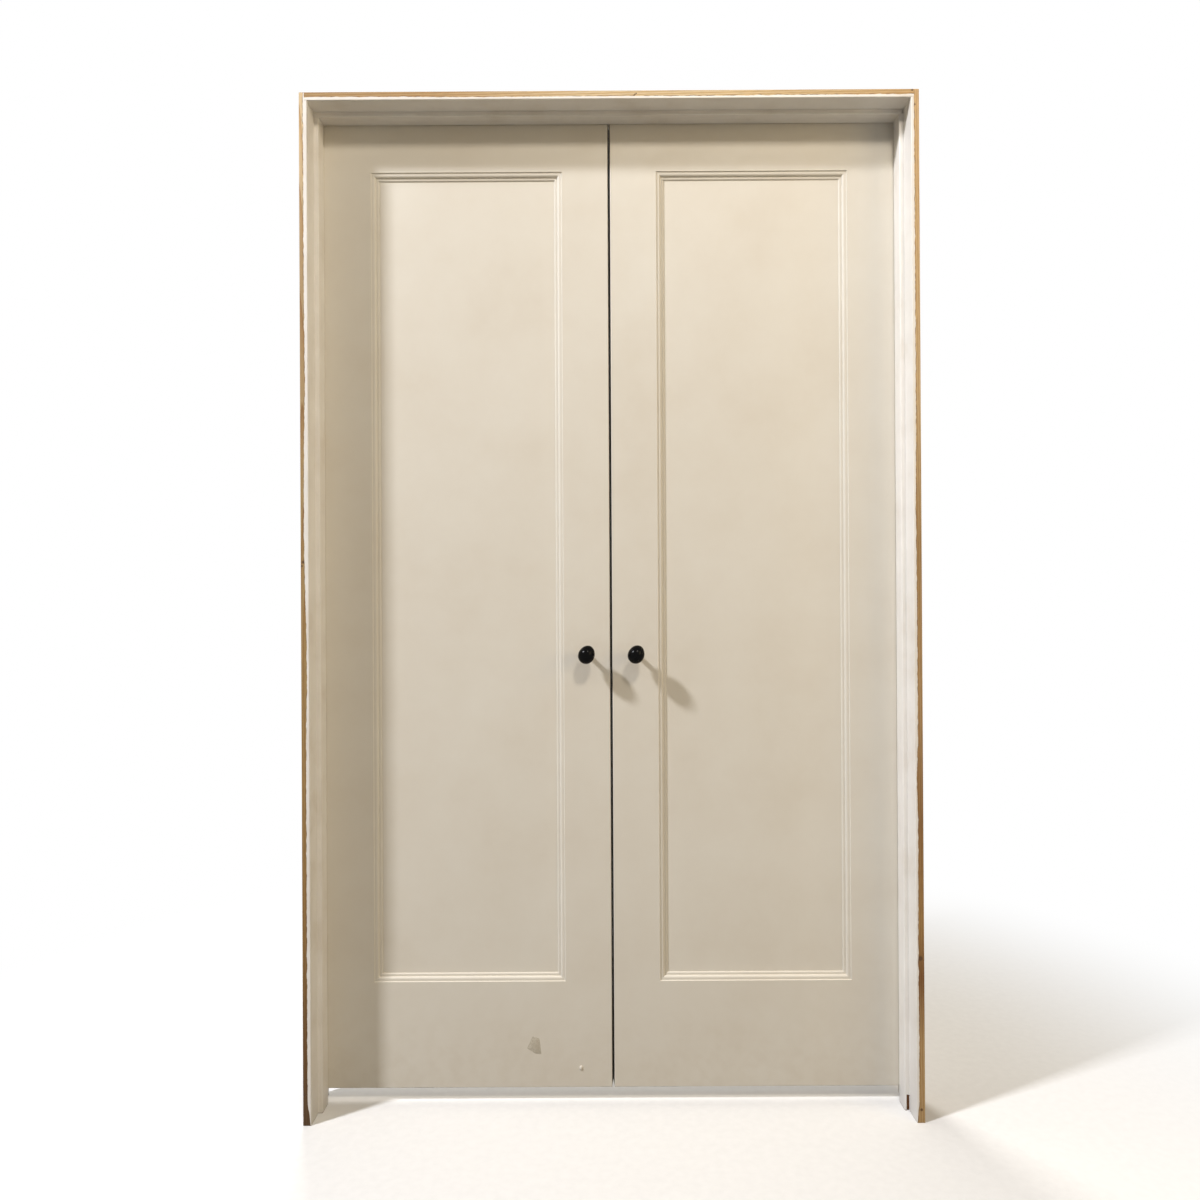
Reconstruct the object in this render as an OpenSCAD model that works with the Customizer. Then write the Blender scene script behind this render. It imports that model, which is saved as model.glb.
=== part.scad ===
// French doors: two one-panel moulded leaves hung on butt hinges in a flat pine frame with stops.
// X runs along the width, Y from the push side to the pull side, Z up from the foot of the jambs.

/* [Leaf] */
// Width of one leaf at its pull face
leaf_w = 606.3; // [500:0.1:760]
// Height of one leaf
leaf_h = 2032; // [1800:1:2300]
// Thickness of one leaf
leaf_t = 35; // [33:0.5:42]
// Flat margin from the leaf's hinge edge to the panel's moulding
stile_face = 104.7; // [90:0.1:120]
// How much narrower the margin is at the meeting edge, which was planed to fit
meeting_trim = 5.5; // [0:0.1:10]
// How far the meeting edge is bevelled back at the push face, so that it clears the other leaf
meeting_bevel = 2.4; // [0:0.1:2.5]
// Flat margin from the leaf's top to the panel's moulding
top_rail_face = 105; // [90:1:160]
// Flat margin from the leaf's bottom to the panel's moulding
bottom_rail_face = 222; // [150:1:280]
// Thickness of a pressed skin
skin_t = 3.2; // [2.8:0.1:3.8]
// Rounding of the leaf's outer edges
leaf_ease = 1.2; // [0.4:0.1:2]

/* [Panel moulding] */
// Depth of the first small drop at the outer edge
drop_outer = 2.1; // [1.5:0.1:2.6]
// Depth of the rounded drop in the middle
drop_middle = 4.5; // [3:0.1:5]
// Depth of the last drop to the flat panel
drop_inner = 2.4; // [1.5:0.1:2.8]
// Run of the first drop
run_outer = 1.3; // [0.8:0.1:2]
// Flat between the first drop and the rounded one
flat_outer = 3.6; // [2:0.1:6]
// Run of the rounded drop
run_middle = 4.8; // [3:0.1:7]
// Flat between the rounded drop and the last one
flat_inner = 3.4; // [2:0.1:6]
// Run of the last drop
run_inner = 2.9; // [1.5:0.1:4]
// How far the back of the moulding stands outside its front
press_wall = 1.8; // [1.2:0.1:2.4]

/* [Leaf frame inside] */
// Width of the wooden stiles at the leaf's edges
stile_w = 30; // [26:1:40]
// Height of the top rail
top_rail_h = 38; // [34:1:60]
// Height of the bottom rail
bottom_rail_h = 38; // [30:1:80]
// Room between the block that carries the knob and the back of the moulding
block_clear = 6; // [2:1:12]
// Height of the block that carries the knob
block_h = 380; // [200:1:500]
// Width across flats of one cell of the card core
cell_af = 104; // [60:1:120]
// Wall of the card core
cell_wall = 2; // [1.2:0.1:4]

/* [Frame] */
// Thickness of the jambs
jamb_t = 16; // [14:0.5:22]
// Depth of the jambs from front to back
jamb_d = 116; // [100:1:160]
// Depth of the housing in the side jambs that takes the end of the head
housing_d = 6; // [4:0.5:9]
// Rounding of the jambs' inner edges
jamb_ease = 1.4; // [0.4:0.1:3]
// Thickness of the stops
stop_t = 9.5; // [8:0.5:14]
// Width of the stops from front to back
stop_w = 36; // [28:0.5:45]
// Rounding of the stops' edges
stop_ease = 1.8; // [0.4:0.1:3]
// How far the head stop is cut short of the right jamb
stop_short = 2; // [0:0.1:4]
// Length of a corner nail
nail_len = 40; // [30:1:60]
// Radius of a corner nail
nail_r = 1.3; // [1:0.1:2]
// Radius of a corner nail's head
nail_head_r = 3.2; // [2.4:0.1:4]
// Thickness of a corner nail's head
nail_head_h = 1.2; // [0.8:0.1:2]
// Distance between the corner nails
nail_pitch = 38; // [20:1:45]

/* [Gaps] */
// Gap between a leaf and its side jamb
hinge_gap = 3; // [2:0.1:4]
// Gap between the two leaves at their pull faces
meeting_gap = 0.4; // [0.4:0.1:6]
// Gap between the leaves and the head
head_gap = 3; // [2.6:0.1:4]
// Room under the leaves
floor_gap = 31; // [6:1:60]
// Gap between a leaf and its stop
stop_gap = 1; // [0.5:0.1:3]

/* [Hinges] */
// Height of a hinge
hinge_h = 89; // [76:1:110]
// Distance from the leaf's top to the top hinge
hinge_top_in = 178; // [120:1:260]
// Distance from the leaf's bottom to the bottom hinge
hinge_bottom_in = 279; // [180:1:340]
// Thickness of a hinge plate
plate_t = 2.2; // [1.8:0.1:3]
// Width of a hinge plate on the wood
plate_reach = 27; // [22:1:29]
// Radius of a plate's rounded corners
plate_corner = 6; // [3:0.5:10]
// Radius of the knuckles
barrel_r = 5.5; // [5:0.1:7]
// Radius of the hinge pin
pin_r = 3.2; // [2.5:0.1:3.6]
// Radius of the pin's button head
pin_head_r = 5; // [4.2:0.1:5.4]
// Height of the pin's button head
pin_head_h = 2.6; // [2:0.1:4]
// Length of the pin's tip below the barrel
pin_tip = 2; // [1:0.1:4]
// Room between neighbouring knuckles
knuckle_gap = 0.4; // [0.3:0.05:0.8]
// Room between the barrel and the wood behind it
barrel_clear = 0.4; // [0.3:0.05:1]

/* [Screws] */
// Length of a hinge screw
screw_len = 13.5; // [10:0.5:13.5]
// Radius of a hinge screw's head
screw_head_r = 4; // [3.4:0.1:4.4]
// Radius of a hinge screw's shank
screw_r = 1.9; // [1.5:0.1:2.4]
// Height of the countersunk head
screw_head_h = 2; // [1.4:0.1:2]
// Distance between the screws along the hinge
screw_pitch = 29; // [24:0.5:32]
// Distance of the outer screws from the plate's far edge
screw_far_in = 8; // [7:0.5:10]
// Distance of the middle screw from the plate's far edge
screw_near_in = 17; // [14:0.5:17]

/* [Knobs] */
// Length of the egg-shaped knob
knob_len = 39; // [32:0.5:52]
// Diameter of the egg-shaped knob
knob_dia = 34; // [26:0.5:44]
// Lean of the egg's long axis from upright
knob_lean = 25; // [-90:1:90]
// How far the egg's widest place is moved to its lower end, in degrees of its outline
knob_egg = 6; // [0:1:12]
// Distance from the leaf's face to the middle of the knob
knob_stand = 39; // [32:0.5:60]
// Radius of the knob's neck
neck_r = 5; // [4:0.1:8]
// Radius of the neck's foot
foot_r = 8; // [6:0.1:14]
// Thickness of the neck's foot
foot_t = 2.5; // [1.5:0.1:5]
// Height of the knobs above the leaf's bottom
knob_height = 911; // [800:1:1100]
// Distance from the leaf's meeting edge to the knob
knob_backset = 51; // [45:1:58]
// Radius of the stud that joins the two knobs
stud_r = 3; // [2:0.1:3.6]
// Length of the stud inside each knob
stud_in = 22; // [12:0.5:28]

/* [Ball catches] */
// Distance from the leaf's meeting edge to the catch
catch_in = 62; // [50:1:120]
// Radius of the ball
ball_r = 5.5; // [4.5:0.1:6]
// How far the ball can be pressed in
ball_travel = 3.8; // [2:0.1:4]
// Room around the ball
ball_clear = 0.35; // [0.3:0.05:0.5]
// How much smaller the mouth is than the ball
mouth_grip = 0.3; // [0.2:0.05:0.5]
// Wall of the catch's tube
tube_wall = 1.2; // [0.8:0.1:2]
// Length of the catch's tube in the wood
tube_len = 27; // [22:0.5:31]
// Thickness of the tube's floor
tube_floor = 1.5; // [1:0.1:2.5]
// Radius of the tube's flange
flange_r = 9; // [8.5:0.1:12]
// Thickness of the tube's flange
flange_t = 1.2; // [0.8:0.1:1.6]
// Radius of the spring's wire
wire_r = 0.5; // [0.3:0.05:0.7]
// Radius of the spring's coil
coil_r = 4.2; // [3.4:0.1:4.6]
// Turns of the spring
coil_turns = 7; // [5:1:9]
// Length of the strike plate
strike_l = 46; // [40:1:70]
// Width of the strike plate
strike_w = 22; // [18:0.5:28]
// Thickness of the strike plate
strike_t = 1.6; // [1.2:0.1:2]
// Radius of the strike's hole
strike_hole_r = 4.5; // [4.4:0.1:5.5]
// Depth of the hole above the strike
strike_hole_d = 4; // [3:0.5:6]
// Distance of each strike screw from the hole
strike_screw_out = 16; // [13:0.5:18]
// Length of a strike screw
strike_screw_len = 11; // [8:0.5:12]

/* [Fits] */
// Room between a pin, screw or stud and its hole
fit = 0.05; // [0.03:0.01:0.1]
// Room around a plate in its mortise
mortise_clear = 0.2; // [0.1:0.05:0.4]

/* [Hidden] */
$fn = 48;
sides = ["left", "right"];
levels = ["top", "middle", "bottom"];
frame_nodes = ["left_side_jamb", "right_side_jamb", "head_jamb", "left_stop", "right_stop", "head_stop",
  "corner_nails", "frame_hinge_screws", "strike_screws"];
side_nodes = ["front_skin", "back_skin", "hinge_stile", "meeting_stile", "top_rail", "bottom_rail", "knob_block",
  "core", "hinge_screws", "front_knob", "back_knob", "knob_stud", "catch_tube", "catch_spring", "catch_ball",
  "catch_strike"];
hinge_nodes = ["hinge_frame_plate", "hinge_leaf_plate", "hinge_pin"];

// The frame's opening and the planes that everything hangs on
open_w = 2 * (hinge_gap + leaf_w) + meeting_gap;
open_h = floor_gap + leaf_h + head_gap;
barrel_out = barrel_r + barrel_clear;
knob_nose = knob_stand + knob_dia / 2;
y_front = -(jamb_d + knob_nose) / 2;
y_back = y_front + jamb_d;
y_face = y_back - leaf_t;
head_top = open_h + jamb_t;

// The leaf's inside
panel_w = leaf_w - 2 * stile_face + meeting_trim;
panel_h = leaf_h - top_rail_face - bottom_rail_face;
inside_t = leaf_t - 2 * skin_t;
block_w = stile_face - meeting_trim - press_wall - block_clear - stile_w;
recess_d = drop_outer + drop_middle + drop_inner;
moulding_w = run_outer + flat_outer + run_middle + flat_inner + run_inner;
core_t = leaf_t - 2 * (recess_d + skin_t);
hinge_mid = (leaf_h - hinge_top_in - hinge_h + hinge_bottom_in) / 2;
hinge_z = [leaf_h - hinge_top_in - hinge_h, hinge_mid, hinge_bottom_in];

// The catch: the ball's centre hangs below the mouth by the room it needs there
mouth_r = ball_r - mouth_grip;
bore_r = ball_r + ball_clear;
ball_z = flange_t - sqrt(bore_r * bore_r - mouth_r * mouth_r);
coil_seat = sqrt(pow(ball_r + wire_r + ball_clear, 2) - coil_r * coil_r);
coil_top = ball_z - coil_seat;
coil_bottom = tube_floor - tube_len + wire_r;

cream = [0.87, 0.81, 0.72];
paint = [0.9, 0.86, 0.79];
pine = [0.82, 0.68, 0.49];
card = [0.66, 0.52, 0.36];
steel = [0.66, 0.65, 0.62];
black = [0.05, 0.05, 0.05];

// A right-hand piece is the left-hand one in a mirror
module on_side(s) {
  if (s == "left") children();
  else mirror([1, 0, 0]) children();
}

// Leaf space: X from the hinge edge, Y from the push face, Z from the leaf's bottom
module in_leaf() translate([hinge_gap - open_w / 2, y_face, floor_gap]) children();

// Hinge space: the pin's axis is Z, and the leaf is on the +X side
module at_hinge(i) translate([(hinge_gap - open_w) / 2, y_back + barrel_out, floor_gap + hinge_z[i]]) children();

// Catch space: on the leaf's top, at the middle of its thickness
module at_catch() in_leaf() translate([leaf_w - catch_in, leaf_t / 2, leaf_h]) children();

// Strike space: the underside of the head above the catch
module at_strike() at_catch() translate([0, 0, head_gap]) children();

// Points of a rounded corner: its centre, its radius and the angle that it starts from
function corner(x, y, r, start) = [for (a = [0 : 22.5 : 90]) [x + r * cos(start + a), y + r * sin(start + a)]];

// Section of a board from [0, 0] to [w, d] with its two corners at x = w rounded
function board(w, d, r) = concat([[0, 0]], corner(w - r, r, r, -90), corner(w - r, d - r, r, 0), [[0, d]]);

// Section of a sheet that is skin_t thick, with the two corners of its face rounded
function sheet(width) = concat([[0, skin_t]], corner(leaf_ease, leaf_ease, leaf_ease, 180),
  corner(width - leaf_ease, leaf_ease, leaf_ease, 270), [[width, skin_t]]);

// Half of the moulding's section: [distance inwards, depth below the face]
function moulding() = concat(
  [[0, 0], [run_outer * 0.45, drop_outer * 0.8], [run_outer, drop_outer]],
  [for (a = [0 : 18 : 90]) [run_outer + flat_outer + run_middle * sin(a),
    drop_outer + drop_middle * (1 - cos(a))]],
  [for (a = [0 : 30 : 90]) [moulding_w - run_inner * (1 - sin(a)), recess_d - drop_inner * cos(a)]]);

// The whole section across a recess, moved out and down by the skin when it is the skin's back
function section(width, out, down) = let (half = [for (p = moulding()) [p[0] - out, p[1] + down]])
  concat([[-out, down > 0 ? skin_t / 2 : -1]], half,
    [for (i = [len(half) - 1 : -1 : 0]) [width - half[i][0], half[i][1]]],
    [[width + out, down > 0 ? skin_t / 2 : -1]]);

// A recess with mitred corners is where the two extruded sections meet
module recess(out, down) intersection() {
  translate([stile_face, 0, 0]) linear_extrude(height = leaf_h) polygon(section(panel_w, out, down));
  translate([leaf_w, 0, bottom_rail_face]) rotate([0, -90, 0])
    linear_extrude(height = leaf_w) polygon(section(panel_h, out, down));
}

// A flat sheet with rounded edges is where its two extruded sections meet
module flat_sheet(width) intersection() {
  linear_extrude(height = leaf_h) polygon(sheet(width));
  translate([width, 0, 0]) rotate([0, -90, 0]) linear_extrude(height = width) polygon(sheet(leaf_h));
}

// A skin is one sheet whose back follows the moulding pressed into its face
module skin(width) difference() {
  union() {
    flat_sheet(width);
    recess(press_wall, skin_t);
  }
  recess(0, 0);
  knob_bore();
}

module knob_bore() translate([leaf_w - knob_backset, -1, knob_height])
  rotate([-90, 0, 0]) cylinder(r = stud_r + fit, h = leaf_t + 2);

// Turned screw, with its head's face at zero and its point along +Z; grow makes the hole for it
module screw(length, grow = 0) rotate_extrude() polygon(concat(
  grow > 0 ? [[0, -1], [screw_head_r + grow, -1]] : [[0, 0]],
  [[screw_head_r + grow, 0], [screw_r + grow, screw_head_h],
   [screw_r + grow, length - (grow > 0 ? -grow : 2 * screw_r)],
   [grow > 0 ? screw_r + grow : 0.3, length + grow], [0, length + grow]]));

// The three screws of one plate, in hinge space
module plate_screws(grow = 0) for (k = [-1, 0, 1])
  translate([hinge_gap / 2, (k == 0 ? screw_near_in : screw_far_in) - barrel_out - plate_reach,
    hinge_h / 2 + k * screw_pitch]) rotate([0, 90, 0]) screw(screw_len, grow);

// Outline of a plate with its two far corners rounded; grow makes its mortise
module plate_outline(grow = 0) {
  reach = barrel_out + plate_reach + grow;
  corner = plate_corner + grow;
  translate([corner - reach, -grow]) square([reach - corner, hinge_h + 2 * grow]);
  translate([-reach, plate_corner]) square([reach, hinge_h - 2 * plate_corner]);
  for (z = [plate_corner, hinge_h - plate_corner]) translate([corner - reach, z]) circle(r = corner);
}

module plate_blank(grow = 0) translate([hinge_gap / 2 - 10 * grow, 0, 0]) rotate([90, 0, 90])
  linear_extrude(height = plate_t + 10 * grow) plate_outline(grow);

// One fifth of the barrel
module knuckle(i, r, room) translate([0, 0, i * hinge_h / 5 + (i > 0 ? room : 0)])
  cylinder(r = r, h = hinge_h / 5 - (i > 0 ? room : 0) - (i < 4 ? room : 0));

// A hinge plate rolled round the pin at every other knuckle and cut back at the rest
module hinge_half(first) difference() {
  union() {
    plate_blank();
    for (i = [first : 2 : 4]) knuckle(i, barrel_r, knuckle_gap / 2);
  }
  translate([0, 0, -1]) cylinder(r = pin_r + fit, h = hinge_h + 2);
  for (i = [1 - first : 2 : 4]) knuckle(i, barrel_r + knuckle_gap, -knuckle_gap / 2);
  plate_screws(fit);
}

// What the hinges take out of the leaf's edge
module leaf_mortises() for (z = hinge_z) translate([-hinge_gap / 2, leaf_t + barrel_out, z]) {
  plate_blank(mortise_clear);
  plate_screws(fit);
}

// Spring wire swept round a helix as rings of six points
ring_n = 6;
coil_n = 14;
coil_h = coil_top - coil_bottom;
function coil_point(i, j) = let (a = 360 * i / coil_n, b = 360 * j / ring_n, r = coil_r + wire_r * cos(b))
  [r * cos(a), r * sin(a), coil_bottom + coil_h * i / (coil_n * coil_turns) + wire_r * sin(b)];

module spring() {
  rings = coil_n * coil_turns;
  polyhedron(
    points = [for (i = [0 : rings]) for (j = [0 : ring_n - 1]) coil_point(i, j)],
    faces = concat(
      [[for (j = [0 : ring_n - 1]) j]],
      [for (i = [0 : rings - 1]) for (j = [0 : ring_n - 1])
        [i * ring_n + j, (i + 1) * ring_n + j, (i + 1) * ring_n + (j + 1) % ring_n, i * ring_n + (j + 1) % ring_n]],
      [[for (j = [ring_n - 1 : -1 : 0]) rings * ring_n + j]]));
}

// Corner nails run through the side jamb into the end of the head
module corner_nail(grow = 0) rotate([0, 90, 0]) {
  translate([0, 0, -grow * 20]) cylinder(r = nail_head_r + grow, h = nail_head_h + grow * 20);
  cylinder(r = nail_r + grow, h = nail_len + grow);
}

module side_nails(grow = 0) for (k = [-1, 0, 1])
  translate([-open_w / 2 - jamb_t, y_front + jamb_d / 2 + k * nail_pitch, open_h + jamb_t / 2]) corner_nail(grow);

module strike_outline(grow = 0) translate([-strike_l / 2 - grow, -strike_w / 2 - grow])
  square([strike_l + 2 * grow, strike_w + 2 * grow]);

module strike_holes(grow = 0) for (k = [-1, 1]) translate([k * strike_screw_out, 0, 0]) screw(strike_screw_len, grow);

module side_jamb() color(pine) difference() {
  translate([-open_w / 2 - jamb_t, y_front, 0]) linear_extrude(height = head_top)
    polygon(board(jamb_t, jamb_d, jamb_ease));
  translate([-open_w / 2 - housing_d, y_front - 1, open_h]) cube([housing_d + 1, jamb_d + 2, jamb_t + 1]);
  for (i = [0 : 2]) at_hinge(i) mirror([1, 0, 0]) {
    plate_blank(mortise_clear);
    plate_screws(fit);
  }
  side_nails(fit);
}

module head_jamb() color(pine) difference() {
  translate([-open_w / 2 - housing_d, y_front, head_top]) rotate([0, 90, 0])
    linear_extrude(height = open_w + 2 * housing_d) polygon(board(jamb_t, jamb_d, jamb_ease));
  for (s = sides) on_side(s) {
    side_nails(fit);
    at_strike() {
      translate([0, 0, -1]) linear_extrude(height = strike_t + 1) strike_outline(mortise_clear);
      cylinder(r = strike_hole_r, h = strike_hole_d);
      strike_holes(fit);
    }
  }
}

// The head stop runs across the opening, and the side stops butt against its underside
module side_stop() color(paint)
  translate([-open_w / 2, y_face - stop_gap - stop_w, 0]) linear_extrude(height = open_h - stop_t)
    polygon(board(stop_t, stop_w, stop_ease));

module head_stop() color(paint)
  translate([-open_w / 2, y_face - stop_gap - stop_w, open_h]) rotate([0, 90, 0])
    linear_extrude(height = open_w - stop_short) polygon(board(stop_t, stop_w, stop_ease));

module front_skin() color(cream) in_leaf() skin(leaf_w - meeting_bevel);

module back_skin() color(cream) in_leaf() difference() {
  translate([0, leaf_t, 0]) mirror([0, 1, 0]) skin(leaf_w);
  leaf_mortises();
}

module hinge_stile() color(pine) in_leaf() difference() {
  translate([0, skin_t, 0]) cube([stile_w, inside_t, leaf_h]);
  leaf_mortises();
}

// The stile's bevelled face runs from the front skin's edge to the back skin's
module meeting_stile() color(pine) in_leaf() linear_extrude(height = leaf_h)
  polygon([[leaf_w - stile_w, skin_t], [leaf_w - meeting_bevel, skin_t], [leaf_w, leaf_t - skin_t],
    [leaf_w - stile_w, leaf_t - skin_t]]);

module top_rail() color(pine) difference() {
  in_leaf() translate([stile_w, skin_t, leaf_h - top_rail_h]) cube([leaf_w - 2 * stile_w, inside_t, top_rail_h]);
  at_catch() translate([0, 0, -tube_len]) cylinder(r = bore_r + tube_wall + fit, h = tube_len + 1);
}

module bottom_rail() color(pine) in_leaf()
  translate([stile_w, skin_t, 0]) cube([leaf_w - 2 * stile_w, inside_t, bottom_rail_h]);

module knob_block() color(pine) in_leaf() difference() {
  translate([leaf_w - stile_w - block_w, skin_t, knob_height - block_h / 2]) cube([block_w, inside_t, block_h]);
  knob_bore();
}

// Card honeycomb between the two recessed panels
module core() color(card) in_leaf() {
  field_w = panel_w - 2 * moulding_w;
  field_h = panel_h - 2 * moulding_w;
  pitch_z = cell_af * sqrt(3) / 2;
  cols = floor((field_w - cell_af / 2 - cell_wall) / cell_af);
  rows = floor((field_h - cell_wall - cell_af / sqrt(3) / 2) / pitch_z);
  translate([stile_face + moulding_w, recess_d + skin_t + core_t, bottom_rail_face + moulding_w])
    rotate([90, 0, 0]) linear_extrude(height = core_t) difference() {
      square([field_w, field_h]);
      for (r = [0 : rows - 1]) for (c = [0 : cols - 1])
        translate([field_w / 2 + cell_af * (c - (cols - 1) / 2 + (r % 2 == 0 ? -0.25 : 0.25)),
          field_h / 2 + pitch_z * (r - (rows - 1) / 2)])
          rotate(30) circle(r = (cell_af - cell_wall) / sqrt(3), $fn = 6);
    }
}

// Egg turned about its long axis, on a turned neck whose foot sits on the skin
function egg(a) = [knob_dia / 2 * sin(a + knob_egg * sin(a)), -knob_len / 2 * cos(a)];

module knob(lean) difference() {
  union() {
    translate([0, 0, knob_stand]) rotate([0, 0, -lean]) rotate([-90, 0, 0])
      rotate_extrude() polygon([for (a = [0 : 7.5 : 180]) egg(a)]);
    rotate_extrude() polygon([[0, 0], [foot_r, 0], [foot_r, foot_t * 0.5], [foot_r - foot_t * 0.5, foot_t],
      [neck_r + foot_t * 0.3, foot_t * 1.6], [neck_r, foot_t * 3], [neck_r, knob_stand], [0, knob_stand]]);
  }
  translate([0, 0, -1]) cylinder(r = stud_r + fit, h = stud_in + fit + 1);
}

module at_knob(side) in_leaf() translate([leaf_w - knob_backset, side == "front" ? 0 : leaf_t, knob_height]) children();

// The egg leans the same way on both leaves, so its lean turns round in the mirrored leaf
module front_knob(hand) color(black) at_knob("front") rotate([90, 0, 0]) knob(hand * knob_lean);

module back_knob(hand) color(black) at_knob("back") rotate([-90, 0, 0]) knob(hand * knob_lean);

module knob_stud() color(steel) at_knob("front") translate([0, -stud_in, 0]) rotate([-90, 0, 0])
  cylinder(r = stud_r, h = leaf_t + 2 * stud_in);

module catch_tube() color(steel) at_catch() rotate_extrude() polygon([
  [0, -tube_len], [bore_r + tube_wall, -tube_len], [bore_r + tube_wall, 0], [flange_r, 0], [flange_r, flange_t],
  [mouth_r, flange_t], [bore_r, flange_t - 4 * ball_clear], [bore_r, tube_floor - tube_len],
  [0, tube_floor - tube_len]]);

module catch_ball() color(steel) at_catch() translate([0, 0, ball_z]) sphere(r = ball_r);

module catch_spring() color(steel) at_catch() spring();

module catch_strike() color(steel) at_strike() difference() {
  linear_extrude(height = strike_t) strike_outline();
  translate([0, 0, -1]) cylinder(r = strike_hole_r, h = strike_t + 2);
  strike_holes(fit);
}

module strike_screws() color(steel) for (s = sides) on_side(s) at_strike() strike_holes();

module corner_nails() color(steel) for (s = sides) on_side(s) side_nails();

module hinge_frame_plate(i) color(steel) at_hinge(i) mirror([1, 0, 0]) hinge_half(0);

module hinge_leaf_plate(i) color(steel) at_hinge(i) hinge_half(1);

module hinge_pin(i) color(steel) at_hinge(i) rotate_extrude() polygon([
  [0, -pin_tip], [pin_r - 0.8, -pin_tip], [pin_r, -pin_tip + 0.8], [pin_r, hinge_h], [pin_head_r, hinge_h],
  [pin_head_r, hinge_h + pin_head_h * 0.5], [pin_head_r * 0.7, hinge_h + pin_head_h], [0, hinge_h + pin_head_h]]);

module frame_hinge_screws() color(steel) for (s = sides) on_side(s)
  for (i = [0 : 2]) at_hinge(i) mirror([1, 0, 0]) plate_screws();

module hinge_screws() color(steel) for (i = [0 : 2]) at_hinge(i) plate_screws();

side_jamb();  // left_side_jamb
on_side("right") side_jamb();  // right_side_jamb
head_jamb();
side_stop();  // left_stop
on_side("right") side_stop();  // right_stop
head_stop();
corner_nails();
frame_hinge_screws();
strike_screws();
for (s = sides) on_side(s) {
  front_skin();
  back_skin();
  hinge_stile();
  meeting_stile();
  top_rail();
  bottom_rail();
  knob_block();
  core();
  hinge_screws();
  front_knob(s == "left" ? 1 : -1);
  back_knob(s == "left" ? -1 : 1);
  knob_stud();
  catch_tube();
  catch_spring();
  catch_ball();
  catch_strike();
  for (i = [0 : 2]) {
    hinge_frame_plate(i);
    hinge_leaf_plate(i);
    hinge_pin(i);
  }
}
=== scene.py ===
import math

import bmesh
import bpy
from mathutils import Matrix, Vector, noise


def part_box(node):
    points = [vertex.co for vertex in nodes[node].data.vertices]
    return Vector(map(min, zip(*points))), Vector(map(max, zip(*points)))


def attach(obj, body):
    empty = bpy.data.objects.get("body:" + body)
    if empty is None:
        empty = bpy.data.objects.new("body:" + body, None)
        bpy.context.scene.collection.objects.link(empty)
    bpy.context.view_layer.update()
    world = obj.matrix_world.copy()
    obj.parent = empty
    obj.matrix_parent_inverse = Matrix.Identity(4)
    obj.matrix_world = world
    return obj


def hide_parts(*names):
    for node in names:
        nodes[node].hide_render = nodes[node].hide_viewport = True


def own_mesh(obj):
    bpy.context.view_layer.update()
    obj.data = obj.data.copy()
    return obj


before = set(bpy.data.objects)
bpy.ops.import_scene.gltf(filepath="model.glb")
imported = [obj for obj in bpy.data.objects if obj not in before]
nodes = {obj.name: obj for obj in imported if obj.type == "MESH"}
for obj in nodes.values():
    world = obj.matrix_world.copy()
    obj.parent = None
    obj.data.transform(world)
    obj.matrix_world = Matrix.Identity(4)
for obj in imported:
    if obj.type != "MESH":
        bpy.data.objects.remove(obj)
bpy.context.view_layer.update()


# Side jambs
# Two planed pine boards, 116 mm deep and 16 mm thick, stand on the floor and carry the hinges.
# They were painted by hand after the frame was put together: the inner face and the inner part of the
# front edge are coated up to a wavering line, and the outer part stayed bare.

def linear(colour, alpha=1.0):
    """A colour written as sRGB hex, in the linear values that the shaders take."""
    channels = [int(colour[i:i + 2], 16) / 255 for i in (1, 3, 5)]
    return [c / 12.92 if c <= 0.04045 else ((c + 0.055) / 1.055) ** 2.4 for c in channels] + [alpha]


def add(material, kind, feeds=(), stops=(), **settings):
    """One node of a material: its settings, its fed sockets and a ramp's stops. Gives back its outputs."""
    node = material.node_tree.nodes.new("ShaderNode" + kind)
    for name, value in settings.items():
        setattr(node, name, value)
    for socket, source in dict(feeds).items():
        if isinstance(source, bpy.types.NodeSocket):
            material.node_tree.links.new(source, node.inputs[socket])
        else:
            node.inputs[socket].default_value = source
    if stops:
        elements = node.color_ramp.elements
        elements.remove(elements[1])
        for i, (place, colour) in enumerate(stops):
            element = elements[0] if i == 0 else elements.new(place)
            element.position = place
            element.color = linear(colour) if isinstance(colour, str) else [colour] * 3 + [1]
    return node.outputs


def finish(name):
    """A new empty material, with the place of each point in metres in the part's own frame."""
    material = bpy.data.materials.new(name)
    material.use_nodes = True
    material.node_tree.nodes.clear()
    return material, add(material, "TexCoord")["Object"]


def show(material, feeds):
    """The surface that the eye meets: one shader with what was mixed for it."""
    add(material, "OutputMaterial", {"Surface": add(material, "BsdfPrincipled", feeds)[0]})


def dress(material, *names):
    """Puts a finish on CAD nodes."""
    for name in names:
        nodes[name].data.materials.clear()
        nodes[name].data.materials.append(material)


RING_MM = 4.5           # growth rings of quick-grown pine
WAVE_PERIOD = 0.314     # metres between rings when the wave texture's scale is 1
MM = 0.001


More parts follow.
